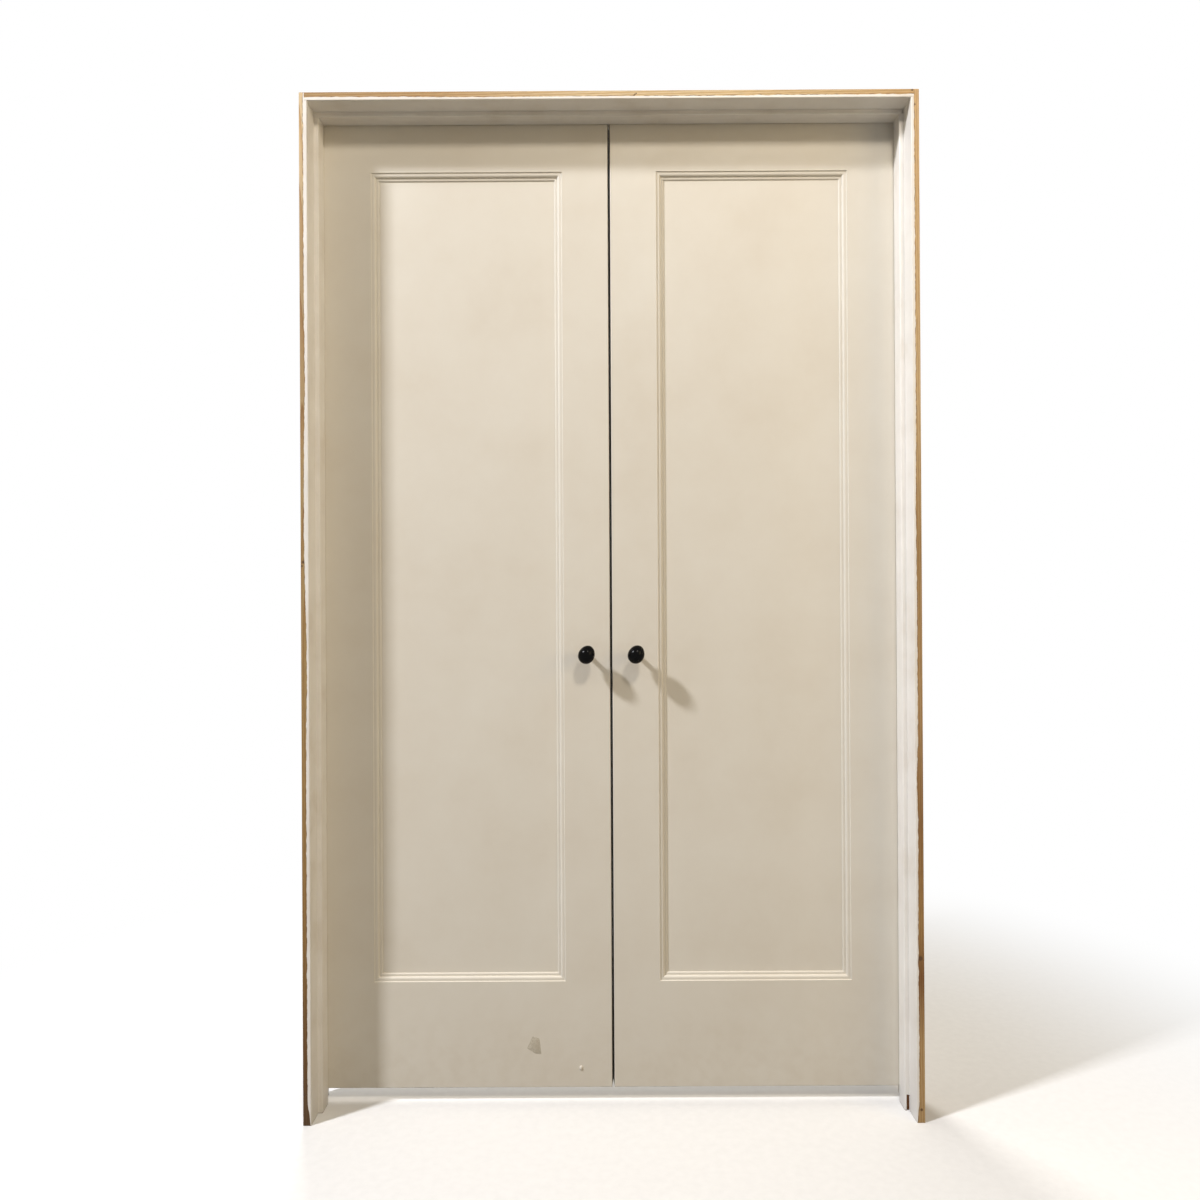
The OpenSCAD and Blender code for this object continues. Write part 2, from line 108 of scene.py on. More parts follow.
def pine(material, place, turn=(0, 0, 0), pith=(0.05, 0.09, 0)):
    """Planed pine: pale early wood that darkens to a fine late-wood line in each ring, with fibres along
    the board. Turn lays the trunk along the board, a little off it so that the rings run out in arches."""
    trunk = add(material, "Mapping", {"Vector": place, "Rotation": turn, "Location": pith})[0]
    stretched = add(material, "Mapping", {"Vector": trunk, "Scale": (1, 1, 0.06)})[0]
    rings = add(material, "TexWave", {"Vector": stretched, "Scale": WAVE_PERIOD / (RING_MM * MM),
                                      "Distortion": 5.0, "Detail": 2.0, "Detail Scale": 0.35},
                wave_type="RINGS", rings_direction="Z", wave_profile="SAW")["Fac"]
    fibre = add(material, "TexNoise", {"Vector": stretched, "Scale": 900.0, "Detail": 3.0})["Fac"]
    wood = add(material, "ValToRGB", {"Fac": rings}, [(0, "#E2CEAB"), (0.5, "#DBC39B"), (0.85, "#CBAA7B"),
                                                      (0.95, "#BA9668"), (1, "#DDC69F")])[0]
    shade = add(material, "MapRange", {"Value": fibre, 1: 0.3, 2: 0.75, 3: 0.82, 4: 1.06})[0]
    colour = add(material, "Mix", {0: 1.0, 6: wood, 7: shade}, data_type="RGBA", blend_type="MULTIPLY")[2]
    return colour, add(material, "Math", {0: fibre, 1: rings}, operation="ADD")[0]


TRIM_PAINT = ("#ECE9E3", "#E7E3DC", "#DFD9CF")   # a clean, an average and a soiled place of the trim's coat


def trim_coat(material, place, along):
    """Brushed oil-based trim paint: a soft cream with faint cloudiness, grey soiling and marks left by
    the bristles. The marks are 2 mm apart where real ones are half a millimetre, so that they show."""
    scale = [1 if axis in along else 0.02 for axis in "XYZ"]
    clouds = add(material, "TexNoise", {"Vector": place, "Scale": 14.0, "Detail": 4.0})["Fac"]
    colour = add(material, "ValToRGB", {"Fac": clouds}, [(0.25, TRIM_PAINT[2]), (0.45, TRIM_PAINT[1]),
                                                         (0.7, TRIM_PAINT[0])])[0]
    lines = add(material, "Mapping", {"Vector": place, "Scale": scale})[0]
    return colour, add(material, "TexNoise", {"Vector": lines, "Scale": 500.0, "Detail": 2.0})["Fac"]


JAMB_MM = 16.0
OPEN_HALF_MM = 609.5
HEAD_UNDER_MM = 2066.0
HEAD_TOP_MM = 2082.0
HALF_WIDTH_MM = 625.5
WAVER_MM, WAVERS_PER_M = 0.9, 45.0      # how far and how often the brush strayed from its line
PAINT_EDGE_MM = 0.25                    # half the width over which the coat thins out
SAWN_END_MM = 0.4
EDGE_DARK_MM = (2.2, 0.2)                    # the bare wood darkens in patches this near the edge of the coat


def jamb_finish(name, level, paint_mm, tones, knots, pith):
    """One jamb: bare pine outside a hand-painted line. paint_mm holds how far the coat reaches from the
    inner face at places along the board, tones how light or dark the bare wood is there, partly its
    browning with age and partly painted shade and painted light, and knots where dark knots and nicks are."""
    material, place = finish(name)
    axes = add(material, "SeparateXYZ", {0: place})
    run, start, length = axes["Z"], 0.0, HEAD_TOP_MM
    if level:
        run, start, length = axes["X"], -HALF_WIDTH_MM, 2 * HALF_WIDTH_MM
    across = axes["Z"] if level else add(material, "Math", {0: axes["X"]}, operation="ABSOLUTE")[0]
    share = add(material, "MapRange", {"Value": run, 1: start * MM, 2: (start + length) * MM})[0]
    outward = add(material, "Math", {0: across, 1: (HEAD_UNDER_MM if level else OPEN_HALF_MM) * MM},
                  operation="SUBTRACT")[0]
    line_stops = [((z - start) / length, mm / JAMB_MM) for z, mm in paint_mm]
    reach = add(material, "ValToRGB", {"Fac": share}, line_stops)[0]
    waver = add(material, "TexNoise", {"W": run, "Scale": WAVERS_PER_M, "Detail": 4.0},
                noise_dimensions="1D")["Fac"]
    wavered = add(material, "MapRange", {"Value": waver, 1: 0.2, 2: 0.8, 3: -WAVER_MM * MM,
                                         4: WAVER_MM * MM})[0]
    line = add(material, "Math", {0: reach, 1: JAMB_MM * MM, 2: wavered}, operation="MULTIPLY_ADD")[0]
    past = add(material, "Math", {0: outward, 1: line}, operation="SUBTRACT")[0]
    bare_side = add(material, "MapRange", {"Value": past, 1: -PAINT_EDGE_MM * MM, 2: PAINT_EDGE_MM * MM},
                    interpolation_type="SMOOTHSTEP")[0]
    aside = add(material, "Math", {0: share, 1: 0.5}, operation="SUBTRACT")[0]
    from_middle = add(material, "Math", {0: aside}, operation="ABSOLUTE")[0]
    sawn_end = add(material, "Math", {0: from_middle, 1: 0.5 - SAWN_END_MM / length},
                   operation="GREATER_THAN")[0]
    bare = add(material, "Math", {0: bare_side, 1: sawn_end}, operation="MAXIMUM")[0]

    wood, grain = pine(material, place, (0.02, math.pi / 2 + 0.02, 0) if level else (0.022, 0.015, 0), pith)
    tone_stops = [((z - start) / length, colour) for z, colour in tones]
    # The tones darken and pale the bare wood along the board: partly its own browning, partly painted shade
    # and painted light.
    aged_and_shaded = add(material, "ValToRGB", {"Fac": share}, tone_stops)[0]
    wood = add(material, "Mix", {0: 1.0, 6: wood, 7: aged_and_shaded}, data_type="RGBA", blend_type="MULTIPLY")[2]
    for z, out, size in knots:
        far_run = add(material, "Math", {0: run, 1: z * MM}, operation="SUBTRACT")[0]
        far_out = add(material, "Math", {0: outward, 1: out * MM}, operation="SUBTRACT")[0]
        offset = add(material, "CombineXYZ", {0: far_run, 1: far_out})[0]
        far = add(material, "VectorMath", {0: offset}, operation="LENGTH")["Value"]
        dark = add(material, "MapRange", {"Value": far, 1: size * MM, 2: 0.4 * size * MM, 3: 0.0, 4: 0.85},
                   interpolation_type="SMOOTHSTEP")[0]
        wood = add(material, "Mix", {0: dark, 6: wood, 7: linear("#4A3018")}, data_type="RGBA")[2]
    # Patches of bare wood close to the coat's edge are darkened.
    mottle = add(material, "TexNoise", {"Vector": place, "Scale": 90.0, "Detail": 3.0})["Fac"]
    close = add(material, "MapRange", {"Value": past, 1: EDGE_DARK_MM[0] * MM, 2: EDGE_DARK_MM[1] * MM})[0]
    darkening = add(material, "MapRange", {"Value": mottle, 1: 0.42, 2: 0.62, 4: 0.85})[0]
    rim = add(material, "Math", {0: close, 1: darkening}, operation="MULTIPLY")[0]
    wood = add(material, "Mix", {0: rim, 6: wood, 7: linear("#5E3F22")}, data_type="RGBA")[2]

    coat, strokes = trim_coat(material, place, "YZ" if level else "XY")
    colour = add(material, "Mix", {0: bare, 6: coat, 7: wood}, data_type="RGBA")[2]
    relief = add(material, "Mix", {0: bare, 2: strokes, 3: grain})[0]
    stepped = add(material, "Math", {0: bare, 1: -1.5, 2: relief}, operation="MULTIPLY_ADD")[0]
    normal = add(material, "Bump", {"Strength": 0.35, "Distance": 0.25 * MM, "Height": stepped})[0]
    rough = add(material, "MapRange", {"Value": bare, 3: 0.42, 4: 0.74})[0]
    show(material, {"Base Color": colour, "Roughness": rough, "Normal": normal})
    return material


LEFT_LINE = [(0, 1.0), (22, 3.0), (45, 7.0), (700, 7.0), (800, 6.5), (870, 4.6), (980, 5.0), (1070, 7.5),
             (1200, 9.5), (1370, 8.5), (1500, 6.0), (1650, 7.5), (2070, 8.0)]
# Bare-wood tones: the dark brown low down is partly painted shade and the near-white top is painted light,
# over the wood's own browning.
LEFT_TONES = [(0, "#5E4A30"), (150, "#74592F"), (400, "#A89168"), (700, "#B8A784"), (1150, "#BEB091"),
              (1750, "#C8BBA7"), (2000, "#F6F2EA")]
LEFT_KNOTS = [(1134, 11, 4.5), (1126, 14, 3), (62, 14, 5)]
RIGHT_LINE = [(0, 0.8), (20, 2.5), (42, 4.6), (180, 5.0), (330, 4.2), (600, 5.5), (690, 3.2), (760, 6.0),
              (1050, 6.0), (1240, 4.6), (1400, 6.2), (2070, 6.0)]
# Bare-wood tones: partly the wood's own browning, partly painted shade and painted light.
RIGHT_TONES = [(0, "#D2C4AD"), (150, "#D0C1A8"), (290, "#8C6B46"), (400, "#B9A27B"), (600, "#A28868"),
               (860, "#C8B79E"), (1150, "#BCAA8C"), (1450, "#E4DBCB"), (2000, "#EDE0CC")]
RIGHT_KNOTS = [(2051, 7, 3), (1882, 5.5, 2.6), (26, 9, 4), (330, 8, 7)]
dress(jamb_finish("painted pine, left jamb", False, LEFT_LINE, LEFT_TONES, LEFT_KNOTS, (0.60, 0.10, 0)),
      "left_side_jamb")
dress(jamb_finish("painted pine, right jamb", False, RIGHT_LINE, RIGHT_TONES, RIGHT_KNOTS,
                  (-0.56, 0.11, 0)), "right_side_jamb")


# Head jamb
# The board across the top, of the same pine, is let 6 mm into the side jambs and nailed through them.
# Its front edge is coated like theirs; a slip of a tool left a short slanting nick near the middle.

HEAD_LINE = [(-625, 6.5), (-430, 6.0), (-300, 4.5), (0, 5.0), (200, 4.5), (350, 5.5), (625, 6.0)]
# Bare-wood tones: the darker left end is painted shade and the near-white middle is painted light, over the
# wood's own tone.
HEAD_TONES = [(-625, "#CAB99C"), (-350, "#D2C0A4"), (-60, "#F8F6F0"), (250, "#FFFCF2"), (600, "#E6D6BD")]
HEAD_KNOTS = [(51, 6.4, 2.0), (53, 8.2, 2.2), (55.5, 10.2, 2.0), (-521, 4.6, 3.2), (612, 14, 3)]
dress(jamb_finish("painted pine, head jamb", True, HEAD_LINE, HEAD_TONES, HEAD_KNOTS, (-2.02, 0.10, 0)),
      "head_jamb")


# Corner nails
# Three bright wire nails a side, cut and headed from drawn steel, hold the head in its housings.
# Each was driven through the side jamb until its head lay flush with the outer face.

def metal(name, tones, rough, grain, relief, grain_mm=1.2, along=(1, 1, 1)):
    """A metal face: plated or drawn steel whose tone and gloss drift a little, with fine marks left by
    its making. They are drawn a millimetre wide where real ones are a tenth of that, so that they show."""
    material, place = finish(name)
    laid = add(material, "Mapping", {"Vector": place, "Scale": along})[0]
    marks = add(material, "TexNoise", {"Vector": laid, "Scale": 1 / (grain_mm * MM), "Detail": 4.0})["Fac"]
    drift = add(material, "TexNoise", {"Vector": place, "Scale": 60.0, "Detail": 3.0})["Fac"]
    both = add(material, "Math", {0: marks, 1: grain, 2: drift}, operation="MULTIPLY_ADD")[0]
    colour = add(material, "ValToRGB", {"Fac": both}, list(zip((0.3, 0.75, 1.0), tones)))[0]
    gloss = add(material, "MapRange", {"Value": both, 1: 0.3, 2: 1.0, 3: rough + 0.12, 4: rough - 0.06})[0]
    normal = add(material, "Bump", {"Strength": relief, "Distance": 0.05 * MM, "Height": marks})[0]
    show(material, {"Base Color": colour, "Metallic": 1.0, "Roughness": gloss, "Normal": normal})
    return material


dress(metal("bright drawn steel wire", ("#7C7974", "#A6A4A0", "#BDBBB7"), 0.36, 0.5, 0.3), "corner_nails")


# Stops
# Flat strips of pine, 36 by 9.5 mm with eased edges, are pinned round the inside of the frame and
# painted with it. The foot of the right one has split away at the front and shows dark wood, and the
# sawn feet are bare.

STOP_EASE_MM = 1.8
CHIP_TOP_MM, CHIP_DEPTH_MM, CHIP_WIDE_MM = 32.0, 3.4, 6.0
CHIP_RAGGED_MM, CHIP_WALL_MM = 3.0, 1.6
BARE_FOOT_MM, FOOT_BLUR_MM = 0.5, 0.2
RING_STEP_MM = 2.0

stop_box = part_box("right_stop")
stop_finishes = {}
for name, along in (("left_stop", "XY"), ("head_stop", "YZ"), ("right_stop", "XY")):
    material, place = finish("painted pine, " + name.replace("_", " "))
    axes = add(material, "SeparateXYZ", {0: place})
    coat, strokes = trim_coat(material, place, along)
    lift = add(material, "MapRange", {"Value": strokes, 1: 0.3, 2: 0.7, 3: 0.97, 4: 1.04})[0]
    coat = add(material, "Mix", {0: 1.0, 6: coat, 7: lift}, data_type="RGBA", blend_type="MULTIPLY")[2]
    foot = add(material, "MapRange", {"Value": axes["Z"], 1: (BARE_FOOT_MM + FOOT_BLUR_MM) * MM,
                                       2: BARE_FOOT_MM * MM})[0]
    if name == "right_stop":
        ragged = add(material, "TexNoise", {"Vector": place, "Scale": 260.0, "Detail": 3.0})["Fac"]
        top = add(material, "MapRange", {"Value": ragged, 1: 0.3, 2: 0.7, 3: (CHIP_TOP_MM - 2) * MM,
                                         4: (CHIP_TOP_MM + 1) * MM})[0]
        low = add(material, "Math", {0: axes["Z"], 1: top}, operation="LESS_THAN")[0]
        front = add(material, "Math", {0: axes["Y"], 1: stop_box[0].y + (CHIP_DEPTH_MM + CHIP_WALL_MM) * MM},
                    operation="LESS_THAN")[0]
        outer = add(material, "Math", {0: axes["X"], 1: stop_box[1].x - CHIP_WIDE_MM * MM},
                    operation="GREATER_THAN")[0]
        split_off = add(material, "Math", {0: low, 1: front}, operation="MULTIPLY")[0]
        chip = add(material, "Math", {0: split_off, 1: outer}, operation="MULTIPLY")[0]
        foot = add(material, "Math", {0: foot, 1: chip}, operation="MAXIMUM")[0]
    wood, grain = pine(material, place, (0, 0.01, 0), (0.62, 0.06, 0))
    dark = add(material, "Mix", {0: 1.0, 6: wood, 7: linear("#8A6445")}, data_type="RGBA",
               blend_type="MULTIPLY")[2]
    colour = add(material, "Mix", {0: foot, 6: coat, 7: dark}, data_type="RGBA")[2]
    rough = add(material, "MapRange", {"Value": foot, 3: 0.40, 4: 0.8})[0]
    relief = add(material, "Mix", {0: foot, 2: strokes, 3: grain})[0]
    normal = add(material, "Bump", {"Strength": 0.3, "Distance": 0.2 * MM, "Height": relief})[0]
    show(material, {"Base Color": colour, "Roughness": rough, "Normal": normal})
    stop_finishes[name] = material
dress(stop_finishes["left_stop"], "left_stop")
dress(stop_finishes["head_stop"], "head_stop")


def eased_corner(x, y, towards_x, towards_y, radius, steps=4):
    """Points of one rounded edge of a strip's section, from the face it leaves to the face it meets."""
    centre = (x - towards_x * radius, y - towards_y * radius)
    for i in range(steps + 1):
        a = math.pi / 2 * i / steps
        yield (centre[0] + towards_x * radius * math.sin(a), centre[1] + towards_y * radius * math.cos(a))


def split_stop():
    """The right stop: a strip with its section carried up the jamb, its front split away at the foot."""
    low, high = stop_box
    ease = STOP_EASE_MM * MM
    front = [(high.x - (high.x - low.x - ease) * t, low.y) for t in (0, 0.25, 0.5, 0.74, 0.8)]
    inner = list(eased_corner(low.x, low.y, -1, -1, ease))
    outline = front + inner + list(eased_corner(low.x, high.y, -1, 1, ease))[::-1] + [(high.x, high.y)]
    heights = [i * RING_STEP_MM * MM for i in range(int(CHIP_TOP_MM / RING_STEP_MM) + 3)]
    heights += [80 * MM, high.z - RING_STEP_MM * MM, high.z]
    mesh = bmesh.new()
    rings = []
    for z in heights:
        ring = []
        for x, y in outline:
            torn = noise.noise(Vector((x * 400, z * 160, 3.0)))
            edge = (CHIP_TOP_MM - CHIP_RAGGED_MM / 2) * MM + CHIP_RAGGED_MM * MM * torn
            if z < edge and y < low.y + CHIP_RAGGED_MM * MM and x > high.x - CHIP_WIDE_MM * MM:
                dent = 0.8 + 0.35 * noise.noise(Vector((x * 700, z * 90, 9.0)))
                y = max(y, low.y + CHIP_DEPTH_MM * MM * dent)
            ring.append(mesh.verts.new((x, y, z)))
        rings.append(ring)
    for below, above in zip(rings, rings[1:]):
        for i in range(len(outline)):
            j = (i + 1) % len(outline)
            mesh.faces.new((below[i], below[j], above[j], above[i]))
    mesh.faces.new(rings[0][::-1])
    mesh.faces.new(rings[-1])
    bmesh.ops.recalc_face_normals(mesh, faces=mesh.faces)
    return mesh


CREASE = math.radians(35)


def piece(name, mesh, material, body, smooth=True):
    """A finished mesh as an object in the part's frame that moves with a body."""
    data = bpy.data.meshes.new(name)
    mesh.to_mesh(data)
    mesh.free()
    if smooth:
        data.shade_smooth()
        data.set_sharp_from_angle(angle=CREASE)
    data.materials.append(material)
    made = bpy.data.objects.new(name, data)
    bpy.context.scene.collection.objects.link(made)
    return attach(made, body)


split = piece("right_stop_split_at_foot", split_stop(), stop_finishes["right_stop"], "frame")
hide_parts("right_stop")


# Leaf skins
# Each leaf has two sheets of pressed hardboard, 3.2 mm thick, with the panel's moulding pressed into them.
# A short-pile roller and a spray tip laid a satin cream enamel on them, which has a faint stipple. Each
# sheet is drawn with its coat on, and stays crisp at the moulding's edges.

LEAF_PAINT = ("#DCD7CB", "#D9D3C6", "#D6CFC1")    # a clean, an average and a soiled place of the leaf's coat
STIPPLE_MM = 1.6                                  # the roller's stipple is half as coarse on the real leaf
COAT_MM, WELD_MM = 0.25, 0.01                     # two coats over the primer; corners this close are one
HANDLED_M, KICKED_M = (0.095, 0.02), (0.26, 0.03)  # soil near the knob and the floor, from none to most
CRISP = math.radians(20)
KNOB_X_MM, KNOB_Z_MM = 51.2, 942.0

leaf_paint, place = finish("satin enamel on hardboard")
axes = add(leaf_paint, "SeparateXYZ", {0: place})
clouds = add(leaf_paint, "TexNoise", {"Vector": place, "Scale": 5.0, "Detail": 5.0, "Roughness": 0.6})["Fac"]
coat = add(leaf_paint, "ValToRGB", {"Fac": clouds}, [(0.3, LEAF_PAINT[2]), (0.48, LEAF_PAINT[1]),
                                                     (0.7, LEAF_PAINT[0])])[0]
from_gap = add(leaf_paint, "Math", {0: axes["X"]}, operation="ABSOLUTE")[0]
beside = add(leaf_paint, "Math", {0: from_gap, 1: KNOB_X_MM * MM}, operation="SUBTRACT")[0]
above = add(leaf_paint, "Math", {0: axes["Z"], 1: KNOB_Z_MM * MM}, operation="SUBTRACT")[0]
reach = add(leaf_paint, "VectorMath", {0: add(leaf_paint, "CombineXYZ", {0: beside, 1: above})[0]},
            operation="LENGTH")["Value"]
blot = add(leaf_paint, "TexNoise", {"Vector": place, "Scale": 38.0, "Detail": 4.0})["Fac"]
handled = add(leaf_paint, "MapRange", {"Value": reach, 1: HANDLED_M[0], 2: HANDLED_M[1]},
              interpolation_type="SMOOTHSTEP")[0]
kicked = add(leaf_paint, "MapRange", {"Value": axes["Z"], 1: KICKED_M[0], 2: KICKED_M[1]},
             interpolation_type="SMOOTHSTEP")[0]
touched = add(leaf_paint, "Math", {0: handled, 1: kicked}, operation="MAXIMUM")[0]
patchy = add(leaf_paint, "MapRange", {"Value": blot, 1: 0.42, 2: 0.66, 3: 0.06, 4: 0.24})[0]
mottle = add(leaf_paint, "Math", {0: touched, 1: patchy}, operation="MULTIPLY")[0]
coat = add(leaf_paint, "Mix", {0: mottle, 6: coat, 7: linear("#C9BEAC")}, data_type="RGBA")[2]
stipple = add(leaf_paint, "TexNoise", {"Vector": place, "Scale": 1 / (STIPPLE_MM * MM), "Detail": 2.0})["Fac"]
sway = add(leaf_paint, "TexNoise", {"Vector": place, "Scale": 3.2, "Detail": 1.0})["Fac"]
relief = add(leaf_paint, "Math", {0: sway, 1: 2.5, 2: stipple}, operation="MULTIPLY_ADD")[0]
normal = add(leaf_paint, "Bump", {"Strength": 0.22, "Distance": 0.12 * MM, "Height": relief})[0]
sheen = add(leaf_paint, "MapRange", {"Value": blot, 1: 0.3, 2: 0.7, 3: 0.44, 4: 0.54})[0]
show(leaf_paint, {"Base Color": coat, "Roughness": sheen, "Normal": normal})
for side in ("left", "right"):
    for face in ("front", "back"):
        skin = f"{side}_{face}_skin"
        sheet = bmesh.new()
        sheet.from_mesh(nodes[skin].data)
        bmesh.ops.remove_doubles(sheet, verts=sheet.verts, dist=WELD_MM * MM)
        made = piece(skin + "_coated", sheet, leaf_paint, side + "_leaf", smooth=False)
        layer = made.modifiers.new("coat", "DISPLACE")
        layer.direction, layer.mid_level, layer.strength = "NORMAL", 0.0, COAT_MM * MM
        made.modifiers.new("crisp edges", "EDGE_SPLIT").split_angle = CRISP
        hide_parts(skin)


# Marks on the left leaf
# A torn scrap of tape left a thin film of old glue low on the left leaf, grey-brown with ragged sides.
# Nearer the meeting edge a run of the leaf's paint dried as a drop that hangs a little.

FACE_Y_MM = -5.0 - COAT_MM
GLUE_MM = [(-169.9, 137.5), (-155.4, 133.2), (-151.6, 100.6), (-162.7, 101.3), (-181.2, 112.7)]
GLUE_T_MM, GLUE_TEAR_MM, GLUE_SLOPE = 0.12, 0.9, 0.03
SIDE_STEPS = 9
RUN_MM, RUN_HALF_MM, RUN_HIGH_MM, RUN_SUNK_MM, RUN_HANG = (-67.8, 72.0), (3.6, 4.2), 2.4, 0.05, 1.45

glue, place = finish("dried glue film")
smear = add(glue, "TexNoise", {"Vector": place, "Scale": 210.0, "Detail": 4.0, "Distortion": 1.5})["Fac"]
colour = add(glue, "ValToRGB", {"Fac": smear}, [(0.3, "#AFA694"), (0.5, "#BAB2A1"), (0.72, "#CAC3B4")])[0]
rough = add(glue, "MapRange", {"Value": smear, 1: 0.3, 2: 0.7, 3: 0.3, 4: 0.5})[0]
normal = add(glue, "Bump", {"Strength": 0.3, "Distance": 0.1 * MM, "Height": smear})[0]
show(glue, {"Base Color": colour, "Roughness": rough, "Normal": normal})

mesh = bmesh.new()
rim = []
for i, (x0, z0) in enumerate(GLUE_MM):
    x1, z1 = GLUE_MM[(i + 1) % len(GLUE_MM)]
    for t in range(SIDE_STEPS):
        x, z = x0 + (x1 - x0) * t / SIDE_STEPS, z0 + (z1 - z0) * t / SIDE_STEPS
        tear = GLUE_TEAR_MM * noise.noise(Vector((x * 0.35, z * 0.35, 1.7)))
        rim.append((x + tear, z + tear))
outer = [mesh.verts.new((x * MM, FACE_Y_MM * MM, z * MM)) for x, z in rim]
middle = [sum(p[i] for p in rim) / len(rim) for i in (0, 1)]
raised = [mesh.verts.new(((x + (middle[0] - x) * GLUE_SLOPE) * MM, (FACE_Y_MM - GLUE_T_MM) * MM,
                          (z + (middle[1] - z) * GLUE_SLOPE) * MM)) for x, z in rim]
for i in range(len(rim)):
    j = (i + 1) % len(rim)
    mesh.faces.new((outer[i], outer[j], raised[j], raised[i]))
mesh.faces.new(raised)
mesh.faces.new(outer[::-1])
bmesh.ops.recalc_face_normals(mesh, faces=mesh.faces)
piece("glue_film_on_left_leaf", mesh, glue, "left_leaf")

mesh = bmesh.new()
rows, columns = 9, 20
rings = []
for i in range(rows):
    a = math.pi / 2 * i / (rows - 1)
    ring = []
    for k in range(columns):
        b = 2 * math.pi * k / columns
        drop = 1.0 if math.sin(b) > 0 else RUN_HANG
        x = RUN_MM[0] + RUN_HALF_MM[0] * math.cos(a) * math.cos(b) * (1 + 0.12 * math.sin(2 * b))
        z = RUN_MM[1] + RUN_HALF_MM[1] * math.cos(a) * math.sin(b) * drop
        y = FACE_Y_MM + RUN_SUNK_MM - RUN_HIGH_MM * math.sin(a) * (1 - 0.25 * math.sin(b) * math.cos(a))
        ring.append((x * MM, y * MM, z * MM))
    rings.append([mesh.verts.new(p) for p in ring] if i < rows - 1 else mesh.verts.new(ring[0]))
for below, above in zip(rings[:-2], rings[1:-1]):
    for k in range(columns):
        mesh.faces.new((below[k], below[(k + 1) % columns], above[(k + 1) % columns], above[k]))
for k in range(columns):
    mesh.faces.new((rings[-2][k], rings[-2][(k + 1) % columns], rings[-1]))
mesh.faces.new(rings[0][::-1])
bmesh.ops.recalc_face_normals(mesh, faces=mesh.faces)
piece("paint_run_on_left_leaf", mesh, leaf_paint, "left_leaf")


# Stiles and rails
# Inside each leaf a frame of planed pine is glued between the skins. Its outer edges were sawn flush
# with the skins and left bare; they are coloured dark brown as painted shade, standing in for the shade
# in the narrow gaps between the leaves and beside the jambs. The inner faces stayed pale.

MEETING_EDGE_MM, HINGE_EDGE_MM = 2.9, 606.3       # the bare edges, darkened as painted shade, lie within the first and past the second

shaded_edge_pine, place = finish("pine with edges darkened as painted shade")
axes = add(shaded_edge_pine, "SeparateXYZ", {0: place})
wood, grain = pine(shaded_edge_pine, place, (0.018, 0.012, 0), (0.36, 0.07, 0))
from_gap = add(shaded_edge_pine, "Math", {0: axes["X"]}, operation="ABSOLUTE")[0]
meeting = add(shaded_edge_pine, "Math", {0: from_gap, 1: MEETING_EDGE_MM * MM}, operation="LESS_THAN")[0]
hinged = add(shaded_edge_pine, "Math", {0: from_gap, 1: HINGE_EDGE_MM * MM}, operation="GREATER_THAN")[0]
edge = add(shaded_edge_pine, "Math", {0: meeting, 1: hinged}, operation="MAXIMUM")[0]
# The bare outer edges are darkened as painted shade, for the shade in the gaps round the leaves.
edge_mottle = add(shaded_edge_pine, "TexNoise", {"Vector": place, "Scale": 7.0, "Detail": 5.0})["Fac"]
edge_shade = add(shaded_edge_pine, "MapRange", {"Value": edge_mottle, 1: 0.3, 2: 0.7, 3: 0.88, 4: 1.0})[0]
amount = add(shaded_edge_pine, "Math", {0: edge, 1: edge_shade}, operation="MULTIPLY")[0]
colour = add(shaded_edge_pine, "Mix", {0: amount, 6: wood, 7: linear("#54402B")}, data_type="RGBA",
             blend_type="MULTIPLY")[2]
rough = add(shaded_edge_pine, "MapRange", {"Value": edge, 3: 0.75, 4: 0.62})[0]
normal = add(shaded_edge_pine, "Bump", {"Strength": 0.3, "Distance": 0.2 * MM, "Height": grain})[0]
show(shaded_edge_pine, {"Base Color": colour, "Roughness": rough, "Normal": normal})

rail_pine, place = finish("bare planed pine")
wood, grain = pine(rail_pine, place, (0.01, math.pi / 2 + 0.015, 0), (-1.1, 0.06, 0))
normal = add(rail_pine, "Bump", {"Strength": 0.35, "Distance": 0.25 * MM, "Height": grain})[0]
rough = add(rail_pine, "MapRange", {"Value": grain, 2: 2.0, 3: 0.66, 4: 0.84})[0]
show(rail_pine, {"Base Color": wood, "Roughness": rough, "Normal": normal})
for side in ("left", "right"):
    dress(shaded_edge_pine, side + "_hinge_stile", side + "_meeting_stile")
    dress(rail_pine, side + "_top_rail", side + "_bottom_rail")


# Knob blocks and cores
# A block of pressed wood chips is glued in where the knob's stud goes through, and a honeycomb of kraft card
# keeps the two panels apart. Both are closed in by the skins.

CHIP_MM = 3.0

chips, place = finish("pressed wood chips")
flakes = add(chips, "TexVoronoi", {"Vector": place, "Scale": 1 / (CHIP_MM * MM), "Randomness": 1.0})
tone = add(chips, "SeparateXYZ", {0: flakes["Color"]})[0]
colour = add(chips, "ValToRGB", {"Fac": tone}, [(0, "#A8804F"), (0.4, "#C39B67"), (0.8, "#D9B985"),
                                                (1, "#8C6538")])[0]
normal = add(chips, "Bump", {"Strength": 0.5, "Distance": 0.4 * MM, "Height": flakes["Distance"]})[0]
rough = add(chips, "MapRange", {"Value": tone, 3: 0.75, 4: 0.9})[0]
show(chips, {"Base Color": colour, "Roughness": rough, "Normal": normal})

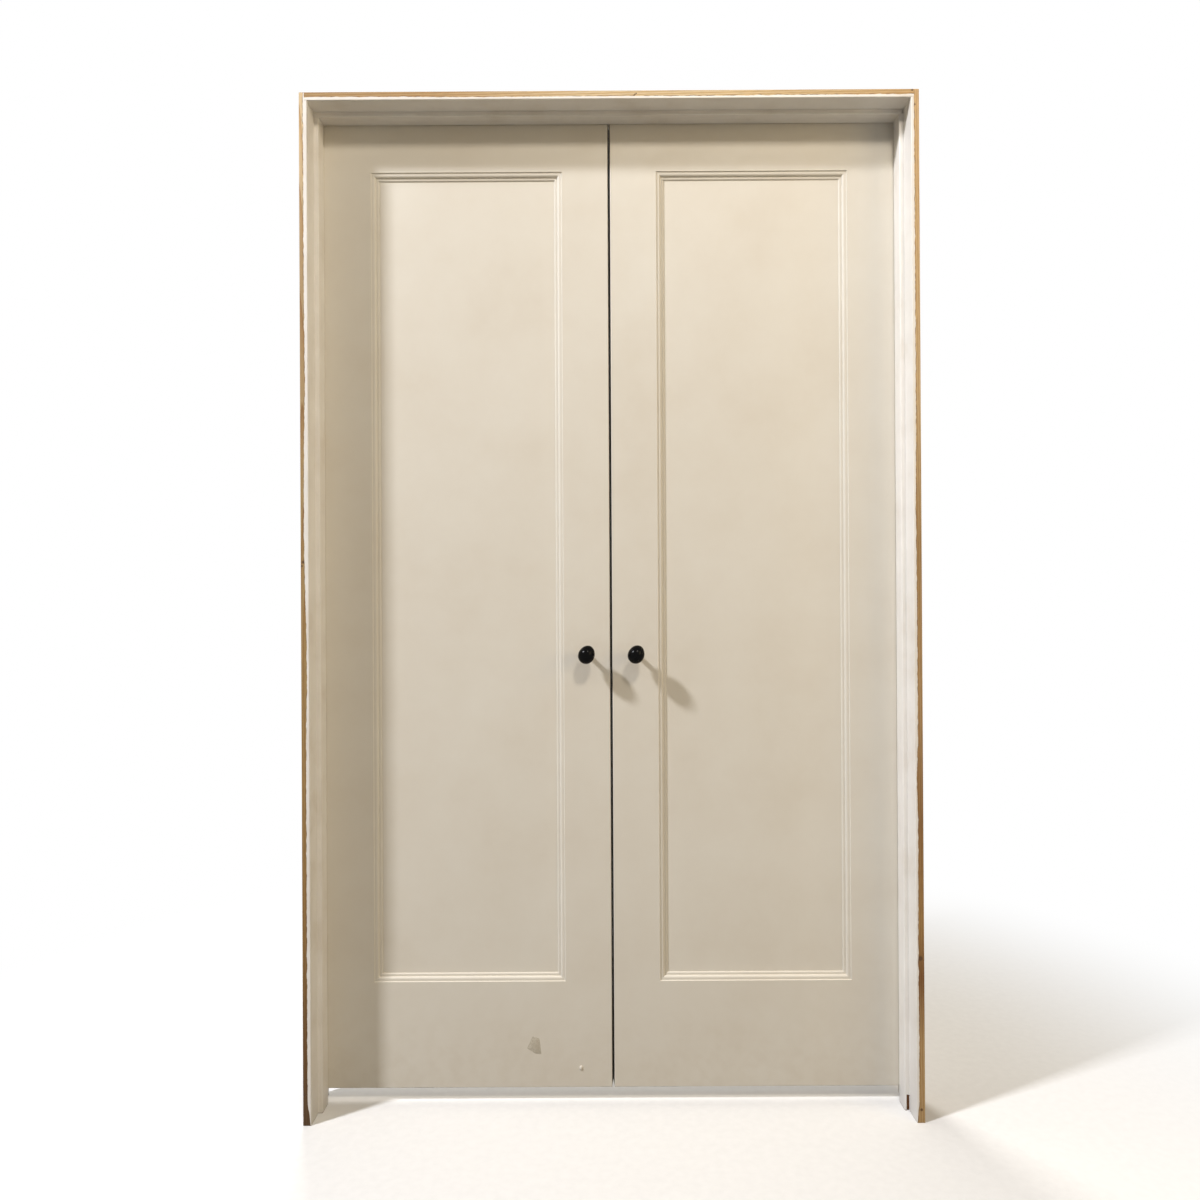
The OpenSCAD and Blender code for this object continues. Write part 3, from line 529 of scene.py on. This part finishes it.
card, place = finish("kraft card")
fibres = add(card, "TexNoise", {"Vector": place, "Scale": 420.0, "Detail": 6.0, "Distortion": 0.8})["Fac"]
colour = add(card, "ValToRGB", {"Fac": fibres}, [(0.25, "#8F6E45"), (0.5, "#A98558"), (0.75, "#BE9C6E")])[0]
normal = add(card, "Bump", {"Strength": 0.25, "Distance": 0.1 * MM, "Height": fibres})[0]
rough = add(card, "MapRange", {"Value": fibres, 3: 0.8, 4: 0.95})[0]
show(card, {"Base Color": colour, "Roughness": rough, "Normal": normal})
for side in ("left", "right"):
    dress(chips, side + "_knob_block")
    dress(card, side + "_core")


# Hinges
# Three 89 mm butt hinges a leaf, stamped from steel, rolled round a loose pin and plated in satin nickel.
# The plates are let in flush and held by countersunk screws; leaves and knuckles turn on the pin.

nickel = metal("satin nickel on steel", ("#8E8A82", "#B4AFA6", "#C6C2B9"), 0.34, 0.7, 0.35, 0.9, (1, 1, 0.05))
for side in ("left", "right"):
    for level in ("top", "middle", "bottom"):
        dress(nickel, *(f"{side}_{level}_hinge_{part}" for part in ("frame_plate", "leaf_plate", "pin")))


# Screws
# Countersunk steel wood screws with a cross recess and a rolled thread, plated to match. They hold the hinge
# plates, nine to a leaf and eighteen in the jambs, and the two strikes in the head.

HEAD_R_MM, HEAD_H_MM, SHANK_R_MM, TIP_MM = 4.0, 2.0, 1.9, 3.8
THREAD_MM, THREAD_DEPTH_MM = 1.6, 0.42
RECESS_MM, ARM_MM, RECESS_DEPTH_MM = 2.3, 0.62, 1.3
AROUND = 24


def ring_of(mesh, seat, radius, depth):
    """A ring of points round a screw's axis at a depth below its head; the radius may turn with the angle."""
    made = []
    for k in range(AROUND):
        a = 2 * math.pi * k / AROUND
        r = radius(a) if callable(radius) else radius
        made.append(mesh.verts.new(seat @ (Vector((r * math.cos(a), r * math.sin(a), depth)) * MM)))
    return made


def cross_of(mesh, seat, size, arm, depth):
    """The twelve corners of a cross-shaped recess at a depth below the screw's head."""
    corners = []
    for turn in range(4):
        c, s = math.cos(turn * math.pi / 2), math.sin(turn * math.pi / 2)
        for x, y in ((arm, -arm), (size, -arm), (size, arm)):
            corners.append(mesh.verts.new(seat @ (Vector((x * c - y * s, x * s + y * c, depth)) * MM)))
    return corners


def join(mesh, upper, lower):
    """The wall between two loops of as many points."""
    for k in range(len(upper)):
        j = (k + 1) % len(upper)
        mesh.faces.new((upper[k], upper[j], lower[j], lower[k]))


def wood_screw(mesh, seat, length):
    """One screw in the mesh. Seat is the middle of its head's face, with +Z along the screw."""
    rim = ring_of(mesh, seat, HEAD_R_MM, 0)
    mouth = cross_of(mesh, seat, RECESS_MM, ARM_MM, 0)
    floor = cross_of(mesh, seat, RECESS_MM * 0.55, ARM_MM * 0.8, RECESS_DEPTH_MM)
    join(mesh, mouth, floor)
    mesh.faces.new(floor)
    face = []
    for loop in (rim, mouth):
        for ends in zip(loop, loop[1:] + loop[:1]):
            face.append(mesh.edges.get(ends) or mesh.edges.new(ends))
    bmesh.ops.triangle_fill(mesh, use_beauty=True, edges=face)
    loop = rim
    neck = HEAD_H_MM
    steps = int((length - TIP_MM - neck) / (THREAD_MM / 4))
    for i in range(steps + 1):
        depth = neck + (length - TIP_MM - neck) * i / steps

        def ridge(angle):
            turn = (depth / THREAD_MM - angle / (2 * math.pi)) % 1
            return SHANK_R_MM - THREAD_DEPTH_MM * abs(2 * turn - 1) * min(1, i / 4)
        lower = ring_of(mesh, seat, ridge, depth)
        join(mesh, loop, lower)
        loop = lower
    point = ring_of(mesh, seat, 0.25, length)
    join(mesh, loop, point)
    mesh.faces.new(point[::-1])


def screws(name, seats, length, body):
    """All screws of one group, standing for its CAD node."""
    mesh = bmesh.new()
    for seat in seats:
        wood_screw(mesh, seat, length)
    bmesh.ops.recalc_face_normals(mesh, faces=mesh.faces)
    made = piece(name + "_cross_recessed", mesh, screw_steel, body)
    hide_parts(name)


SCREW_MM, STRIKE_SCREW_MM = 13.5, 11.0
PITCH_MM, FAR_Y_MM, NEAR_Y_MM = 29.0, 11.0, 20.0
LEAF_EDGE_MM, JAMB_FACE_MM = 606.5, 609.5
STRIKE_X_MM, STRIKE_Y_MM, STRIKE_OUT_MM = 62.2, 12.5, 16.0
INTO = {"+x": Matrix.Rotation(math.pi / 2, 4, "Y"), "-x": Matrix.Rotation(-math.pi / 2, 4, "Y")}

screw_steel = metal("nickel-plated screw steel", ("#84807A", "#ABA7A0", "#C0BCB5"), 0.32, 0.6, 0.25, 0.7)
jamb_seats = []
for side, sign in (("left", -1), ("right", 1)):
    leaf_seats = []
    for level in ("top", "middle", "bottom"):
        low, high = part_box(f"{side}_{level}_hinge_leaf_plate")
        for k, y in ((-1, FAR_Y_MM), (0, NEAR_Y_MM), (1, FAR_Y_MM)):
            z = (low.z + high.z) / 2 + k * PITCH_MM * MM
            twist = Matrix.Rotation(1.3 * math.sin(7 * z + k + sign), 4, "Z")
            for seats, x, way in ((leaf_seats, LEAF_EDGE_MM, "+x" if sign < 0 else "-x"),
                                  (jamb_seats, JAMB_FACE_MM, "-x" if sign < 0 else "+x")):
                seats.append(Matrix.Translation((sign * x * MM, y * MM, z)) @ INTO[way] @ twist)
    screws(side + "_hinge_screws", leaf_seats, SCREW_MM, side + "_leaf")
screws("frame_hinge_screws", jamb_seats, SCREW_MM, "frame")
screws("strike_screws", [Matrix.Translation((sign * (STRIKE_X_MM + k * STRIKE_OUT_MM) * MM, STRIKE_Y_MM * MM,
                                             HEAD_UNDER_MM * MM)) @ Matrix.Rotation(0.4 + sign * k, 4, "Z")
                         for sign in (-1, 1) for k in (-1, 1)], STRIKE_SCREW_MM, "frame")


# Ball catches
# A sprung steel ball in a turned tube sits in the top of each leaf and snaps into a plate in the head.
# The coil spring of oiled wire, with closed ends, stands on the tube's floor and shortens as the ball
# goes in.

WIRE_MM, TURNS, BALL_TRAVEL_MM = 1.0, 7, 3.8
WIRE_SIDES, TURN_STEPS, END_RISE = 8, 28, 2.2     # a closed turn rises this many times half the wire

dress(nickel, "left_catch_tube", "right_catch_tube", "left_catch_strike", "right_catch_strike")
dress(metal("polished bearing steel", ("#A9A8A6", "#C6C5C3", "#D6D5D3"), 0.16, 0.3, 0.1), "left_catch_ball",
      "right_catch_ball")
spring_wire = metal("oiled spring wire", ("#55524E", "#7E7B77", "#94918C"), 0.34, 0.5, 0.2)
for side in ("left", "right"):
    low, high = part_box(side + "_catch_spring")
    wire = WIRE_MM / 2 * MM
    coil, tall = (high.x - low.x) / 2 - wire, high.z - low.z
    mesh = bmesh.new()
    rings = []
    for i in range(TURNS * TURN_STEPS + 1):
        turn = i / TURN_STEPS
        end_turn = min(turn, 1) + max(turn - TURNS + 1, 0)
        open_turn = min(max(turn - 1, 0), TURNS - 2)
        z = low.z + wire + END_RISE * wire * end_turn
        z += (tall - (2 + 2 * END_RISE) * wire) * open_turn / (TURNS - 2)
        ring = []
        for k in range(WIRE_SIDES):
            b = 2 * math.pi * k / WIRE_SIDES
            r = coil + wire * math.cos(b)
            ring.append(mesh.verts.new(((low.x + high.x) / 2 + r * math.cos(2 * math.pi * turn),
                                        (low.y + high.y) / 2 + r * math.sin(2 * math.pi * turn),
                                        z + wire * math.sin(b))))
        if rings:
            join(mesh, rings[-1], ring)
        rings.append(ring)
    mesh.faces.new(rings[0][::-1])
    mesh.faces.new(rings[-1])
    bmesh.ops.recalc_face_normals(mesh, faces=mesh.faces)
    made = piece(side + "_catch_spring_coiled", mesh, spring_wire, side + "_leaf")
    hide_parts(side + "_catch_spring")
    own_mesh(made)


# Knobs
# An egg-shaped knob of turned hardwood under black gloss enamel stands on a slim neck on each side of
# each leaf. A steel stud through the leaf draws the pair together.

enamel, place = finish("black gloss enamel")
dust = add(enamel, "TexNoise", {"Vector": place, "Scale": 170.0, "Detail": 5.0})["Fac"]
peel = add(enamel, "TexNoise", {"Vector": place, "Scale": 420.0, "Detail": 1.0})["Fac"]
colour = add(enamel, "ValToRGB", {"Fac": dust}, [(0.35, "#030303"), (0.6, "#060505"), (0.8, "#0E0D0C")])[0]
rough = add(enamel, "MapRange", {"Value": dust, 1: 0.35, 2: 0.75, 3: 0.1, 4: 0.24})[0]
normal = add(enamel, "Bump", {"Strength": 0.12, "Distance": 0.1 * MM, "Height": peel})[0]
show(enamel, {"Base Color": colour, "Roughness": rough, "Specular IOR Level": 0.07, "Normal": normal})


EGG_LONG_MM, EGG_WIDE_MM, EGG_LEAN, EGG_SWELL = 39.0, 34.0, math.radians(25), math.radians(4)
STAND_MM, NECK_R_MM, FOOT_R_MM, FOOT_T_MM = 39.0, 5.0, 8.0, 2.5
BACK_FACE_MM = 30.0
EGG_ROWS = 40
FOOT_CLEAR_MM = 0.02


def turned(mesh, seat, profile, around=48):
    """A turned form: a profile of radius and height in millimetres, carried round the seat's Z."""
    loops = []
    for radius, height in profile:
        if radius == 0:
            loops.append([mesh.verts.new(seat @ (Vector((0, 0, height)) * MM))] * around)
            continue
        loop = []
        for k in range(around):
            a = 2 * math.pi * k / around
            point = Vector((radius * math.cos(a), radius * math.sin(a), height)) * MM
            loop.append(mesh.verts.new(seat @ point))
        loops.append(loop)
    for below, above in zip(loops, loops[1:]):
        for k in range(around):
            j = (k + 1) % around
            corners = list(dict.fromkeys((below[k], below[j], above[j], above[k])))
            if len(corners) > 2:
                mesh.faces.new(corners)


egg = []
for i in range(EGG_ROWS + 1):
    a = math.pi * i / EGG_ROWS
    radius = EGG_WIDE_MM / 2 * math.sin(a + EGG_SWELL * math.sin(a)) if 0 < i < EGG_ROWS else 0
    egg.append((radius, -EGG_LONG_MM / 2 * math.cos(a)))
neck = [(0, FOOT_CLEAR_MM), (FOOT_R_MM, FOOT_CLEAR_MM), (FOOT_R_MM, FOOT_T_MM * 0.5),
        (FOOT_R_MM - FOOT_T_MM * 0.15, FOOT_T_MM * 0.85), (FOOT_R_MM - FOOT_T_MM * 0.5, FOOT_T_MM),
        (NECK_R_MM + FOOT_T_MM * 0.6, FOOT_T_MM * 1.25),
        (NECK_R_MM + FOOT_T_MM * 0.3, FOOT_T_MM * 1.6), (NECK_R_MM + FOOT_T_MM * 0.1, FOOT_T_MM * 2.2),
        (NECK_R_MM, FOOT_T_MM * 3), (NECK_R_MM, STAND_MM), (0, STAND_MM)]
for side, sign in (("left", -1), ("right", 1)):
    for face, y, out in (("front", FACE_Y_MM, -1), ("back", BACK_FACE_MM, 1)):
        foot = Matrix.Translation(Vector((sign * KNOB_X_MM, y, KNOB_Z_MM)) * MM)
        outward = foot @ Matrix.Rotation(-out * math.pi / 2, 4, "X")
        middle = Matrix.Translation((0, out * STAND_MM * MM, 0)) @ foot
        upright = Matrix.Rotation(EGG_LEAN if out < 0 else math.pi - EGG_LEAN, 4, "Y")
        mesh = bmesh.new()
        turned(mesh, middle @ upright, egg)
        turned(mesh, outward, neck)
        bmesh.ops.recalc_face_normals(mesh, faces=mesh.faces)
        made = piece(f"{side}_{face}_knob_turned", mesh, enamel, side + "_leaf")
        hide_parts(f"{side}_{face}_knob")
    dress(screw_steel, side + "_knob_stud")


# Studio
# A wide pale floor under four lamps: one above in front and a little to the right, one high to the left,
# a weak wide one from the right and one behind, with even light from all round.

FLOOR_R_M, FLOOR_DROP_M = 14.0, 0.0005
WHITE_M = (0.75, 1.9)               # the floor fades into the white backdrop between these distances
LAMPS_AIM = Vector((0, 0, 1.05))

floor_paint, place = finish("pale studio floor")
grit = add(floor_paint, "TexNoise", {"Vector": place, "Scale": 60.0, "Detail": 4.0})["Fac"]
colour = add(floor_paint, "ValToRGB", {"Fac": grit}, [(0.3, "#E6E6E5"), (0.7, "#EAEAE9")])[0]
rays = add(floor_paint, "LightPath")
direct = add(floor_paint, "Math", {0: rays["Is Camera Ray"], 1: rays["Is Glossy Ray"]},
             operation="MAXIMUM")[0]
seen = add(floor_paint, "Math", {0: direct, 1: rays["Is Transmission Ray"]}, operation="MAXIMUM")[0]
bounced = add(floor_paint, "Mix", {0: seen, 6: linear("#66635E"), 7: colour}, data_type="RGBA")[2]
matt = add(floor_paint, "BsdfDiffuse", {"Color": bounced})[0]
white = add(floor_paint, "Emission", {"Color": (1, 1, 1, 1), "Strength": 1.0})[0]
away = add(floor_paint, "VectorMath", {0: place}, operation="LENGTH")["Value"]
fade = add(floor_paint, "MapRange", {"Value": away, 1: WHITE_M[0], 2: WHITE_M[1]},
           interpolation_type="SMOOTHSTEP")[0]
faded = add(floor_paint, "Math", {0: seen, 1: fade}, operation="MULTIPLY")[0]
surface = add(floor_paint, "MixShader", {0: faded, 1: matt, 2: white})[0]
add(floor_paint, "OutputMaterial", {"Surface": surface})
mesh = bmesh.new()
bmesh.ops.create_circle(mesh, cap_ends=True, segments=96, radius=FLOOR_R_M)
data = bpy.data.meshes.new("studio_floor")
mesh.to_mesh(data)
mesh.free()
data.materials.append(floor_paint)
floor = bpy.data.objects.new("studio_floor", data)
floor.location.z = -FLOOR_DROP_M
bpy.context.scene.collection.objects.link(floor)

world = bpy.data.worlds.new("studio")
world.use_nodes = True
world.node_tree.nodes.clear()
rays = add(world, "LightPath")
direct = add(world, "Math", {0: rays["Is Camera Ray"], 1: rays["Is Glossy Ray"]}, operation="MAXIMUM")[0]
plain = add(world, "Math", {0: direct, 1: rays["Is Transmission Ray"]}, operation="MAXIMUM")[0]
soft = add(world, "Background", {"Color": (1.0, 0.99, 0.98, 1), "Strength": 0.2})[0]
white = add(world, "Background", {"Color": (1, 1, 1, 1), "Strength": 1.0})[0]
add(world, "OutputWorld", {"Surface": add(world, "MixShader", {0: plain, 1: soft, 2: white})[0]})
bpy.context.scene.world = world

for name, place, width, height, watts, tint in (("front_lamp", (0.75, -3.0, 3.95), 0.5, 0.5, 60, "#FFF4E4"),
                                                ("fill_lamp", (3.2, -2.4, 2.2), 2.2, 2.2, 46, "#FFE2AC"),
                                                ("side_lamp", (-4.4, -2.5, 5.2), 0.5, 0.5, 425, "#F8F9FF"),
                                                ("back_lamp", (-1.3, 3.6, 3.4), 1.6, 1.6, 150, "#FFFAF3")):
    lamp = bpy.data.lights.new(name, "AREA")
    lamp.shape, lamp.size, lamp.size_y, lamp.energy = "RECTANGLE", width, height, watts
    lamp.color = linear(tint)[:3]
    holder = bpy.data.objects.new(name, lamp)
    holder.location = place
    holder.rotation_euler = (LAMPS_AIM - Vector(place)).to_track_quat("-Z", "Y").to_euler()
    bpy.context.scene.collection.objects.link(holder)

# The camera stands as the photograph's did: level with the middle of the leaves and square to them.
FOCAL_PX, FRAME_PX, SENSOR_MM = 885.71, 1200, 36.0
EYE_M, EYE_TURN_DEG = (-0.0217, -1.8701, 1.0500), (90.146, 0.303, 0.041)
camera = bpy.data.cameras.new("camera")
camera.sensor_width, camera.lens = SENSOR_MM, FOCAL_PX / FRAME_PX * SENSOR_MM
camera.clip_start, camera.clip_end = 0.05, 60
eye = bpy.data.objects.new("camera", camera)
eye.location = EYE_M
eye.rotation_euler = [math.radians(a) for a in EYE_TURN_DEG]
bpy.context.scene.collection.objects.link(eye)
bpy.context.scene.camera = eye
bpy.context.scene.view_settings.view_transform = "Standard"
